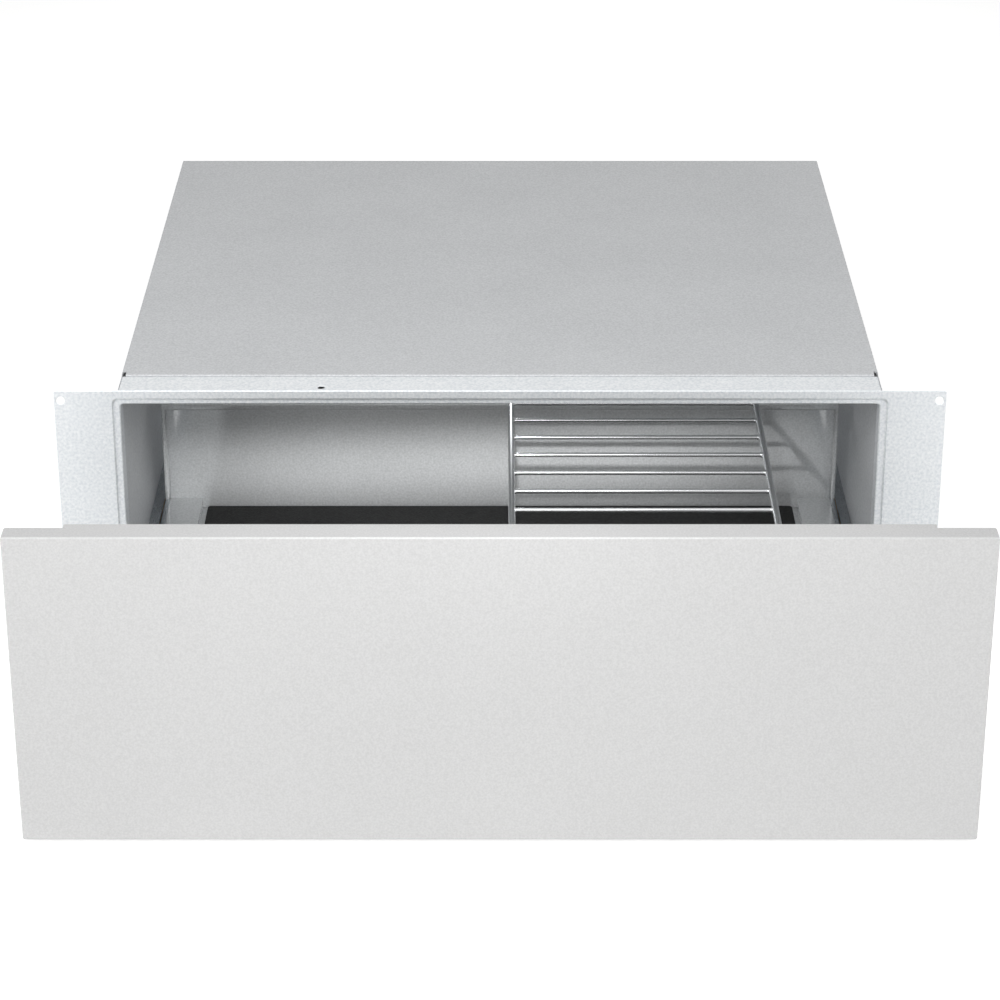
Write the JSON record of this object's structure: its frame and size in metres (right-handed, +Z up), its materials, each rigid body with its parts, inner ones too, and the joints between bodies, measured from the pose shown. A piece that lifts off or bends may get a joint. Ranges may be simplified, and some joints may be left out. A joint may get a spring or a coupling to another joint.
{
  "type": "built-in warming drawer",
  "caption": "Handleless built-in warming drawer on telescopic runners, with front frame, anti-slip mat, lift-out wire rack, fan heater and push latch.",
  "frame": {"origin": "middle of the underside of the housing, in the plane of the front face of the front frame", "axes": "+X to the right seen from the front, +Y to the back, +Z up; the drawer opens towards -Y"},
  "size_m": [0.756, 0.8975, 0.269],
  "materials": {
    "zinc_sheet": "galvanised, matt, fine speckle",
    "frame_steel": "galvanised, light, semi matt",
    "steel_satin": "fine satin stainless steel",
    "steel_polished": "smooth stainless steel, semi gloss",
    "runner_steel": "bright zinc plated",
    "chrome_wire": "polished",
    "black_rubber": "matt, fine texture",
    "seal_rubber": "matt silicone",
    "board": "raw fibreboard",
    "black_plastic": "fine grain",
    "white_plastic": "smooth",
    "circuit_green": "solder mask",
    "brass_cage": "pressed strip",
    "iron_core": "laminated, dark",
    "copper_coil": "enamelled winding",
    "element_sheath": "heat tinted",
    "screw_steel": "zinc plated"
  },
  "bodies": {
    "housing": {"housing_shell": "zinc_sheet", "top_cover": "zinc_sheet", "ceiling_liner": "zinc_sheet", "rear_panel": "zinc_sheet", "front_frame": "frame_steel", "left_outer_rail": "runner_steel", "right_outer_rail": "runner_steel", "air_baffle": "zinc_sheet", "fan_box": "zinc_sheet", "motor_stator": "iron_core", "motor_coil": "copper_coil", "heating_element": "element_sheath", "element_clips": "screw_steel", "overheat_cutout": "black_plastic", "air_temperature_probe": "screw_steel", "board_case": "white_plastic", "control_board": "circuit_green", "terminal_block": "white_plastic", "cable_gland": "black_plastic", "reed_switch": "black_plastic", "latch_body": "black_plastic", "runner_screws": "screw_steel", "frame_screws": "screw_steel", "rear_screws": "screw_steel"},
    "drawer": {"front_panel_skin": "steel_satin", "front_panel_core": "board", "front_panel_back": "runner_steel", "inner_front": "steel_satin", "front_seal": "seal_rubber", "touch_sensor_board": "circuit_green", "switch_magnet": "iron_core", "panel_screws": "screw_steel", "left_front_bracket": "runner_steel", "right_front_bracket": "runner_steel", "left_side_beam": "runner_steel", "right_side_beam": "runner_steel", "tray_floor": "steel_polished", "left_runner_cover": "steel_polished", "right_runner_cover": "steel_polished", "tray_crossbars": "runner_steel", "back_wall_liner": "steel_polished", "drawer_back": "steel_polished", "latch_striker": "runner_steel", "anti_slip_mat": "black_rubber", "left_inner_rail": "runner_steel", "right_inner_rail": "runner_steel"},
    "rack": {"wire_rack": "chrome_wire", "rack_feet": "black_rubber"},
    "fan": {"fan_wheel": "screw_steel", "rotor_shaft": "iron_core", "cooling_impeller": "white_plastic"},
    "latch_plunger": {"latch_plunger": "white_plastic"},
    "left_middle_rail": {"left_middle_rail": "runner_steel"},
    "left_outer_ball_cage": {"left_outer_ball_cage": "brass_cage"},
    "left_inner_ball_cage": {"left_inner_ball_cage": "brass_cage"},
    "right_middle_rail": {"right_middle_rail": "runner_steel"},
    "right_outer_ball_cage": {"right_outer_ball_cage": "brass_cage"},
    "right_inner_ball_cage": {"right_inner_ball_cage": "brass_cage"}
  },
  "joints": [
    {"name": "drawer_slide", "type": "slide", "parent": "housing", "child": "drawer", "axis": [0, -1, 0], "range_m": [-0.2605, 0.1695]},
    {"name": "rack_lift", "type": "slide", "parent": "drawer", "child": "rack", "axis": [0, 0, 1], "range_m": [0, 0.06]},
    {"name": "fan_spin", "type": "hinge", "parent": "housing", "child": "fan", "pos_m": [0, 0.5, 0.132], "axis": [0, 1, 0], "continuous": true},
    {"name": "latch_push", "type": "slide", "parent": "housing", "child": "latch_plunger", "axis": [0, 1, 0], "range_m": [0, 0.005]},
    {"name": "left_middle_rail_slide", "type": "slide", "parent": "housing", "child": "left_middle_rail", "axis": [0, -1, 0], "range_m": [-0.13075, 0.08525]},
    {"name": "left_outer_ball_cage_slide", "type": "slide", "parent": "housing", "child": "left_outer_ball_cage", "axis": [0, -1, 0], "range_m": [-0.06563, 0.04288]},
    {"name": "left_inner_ball_cage_slide", "type": "slide", "parent": "housing", "child": "left_inner_ball_cage", "axis": [0, -1, 0], "range_m": [-0.19588, 0.12763]},
    {"name": "right_middle_rail_slide", "type": "slide", "parent": "housing", "child": "right_middle_rail", "axis": [0, -1, 0], "range_m": [-0.13075, 0.08525]},
    {"name": "right_outer_ball_cage_slide", "type": "slide", "parent": "housing", "child": "right_outer_ball_cage", "axis": [0, -1, 0], "range_m": [-0.06563, 0.04288]},
    {"name": "right_inner_ball_cage_slide", "type": "slide", "parent": "housing", "child": "right_inner_ball_cage", "axis": [0, -1, 0], "range_m": [-0.19588, 0.12763]}
  ],
  "couplings": [
    {"joint": "left_middle_rail_slide", "follows": "drawer_slide", "ratio": 0.5},
    {"joint": "left_outer_ball_cage_slide", "follows": "drawer_slide", "ratio": 0.25},
    {"joint": "left_inner_ball_cage_slide", "follows": "drawer_slide", "ratio": 0.75},
    {"joint": "right_middle_rail_slide", "follows": "drawer_slide", "ratio": 0.5},
    {"joint": "right_outer_ball_cage_slide", "follows": "drawer_slide", "ratio": 0.25},
    {"joint": "right_inner_ball_cage_slide", "follows": "drawer_slide", "ratio": 0.75}
  ]
}
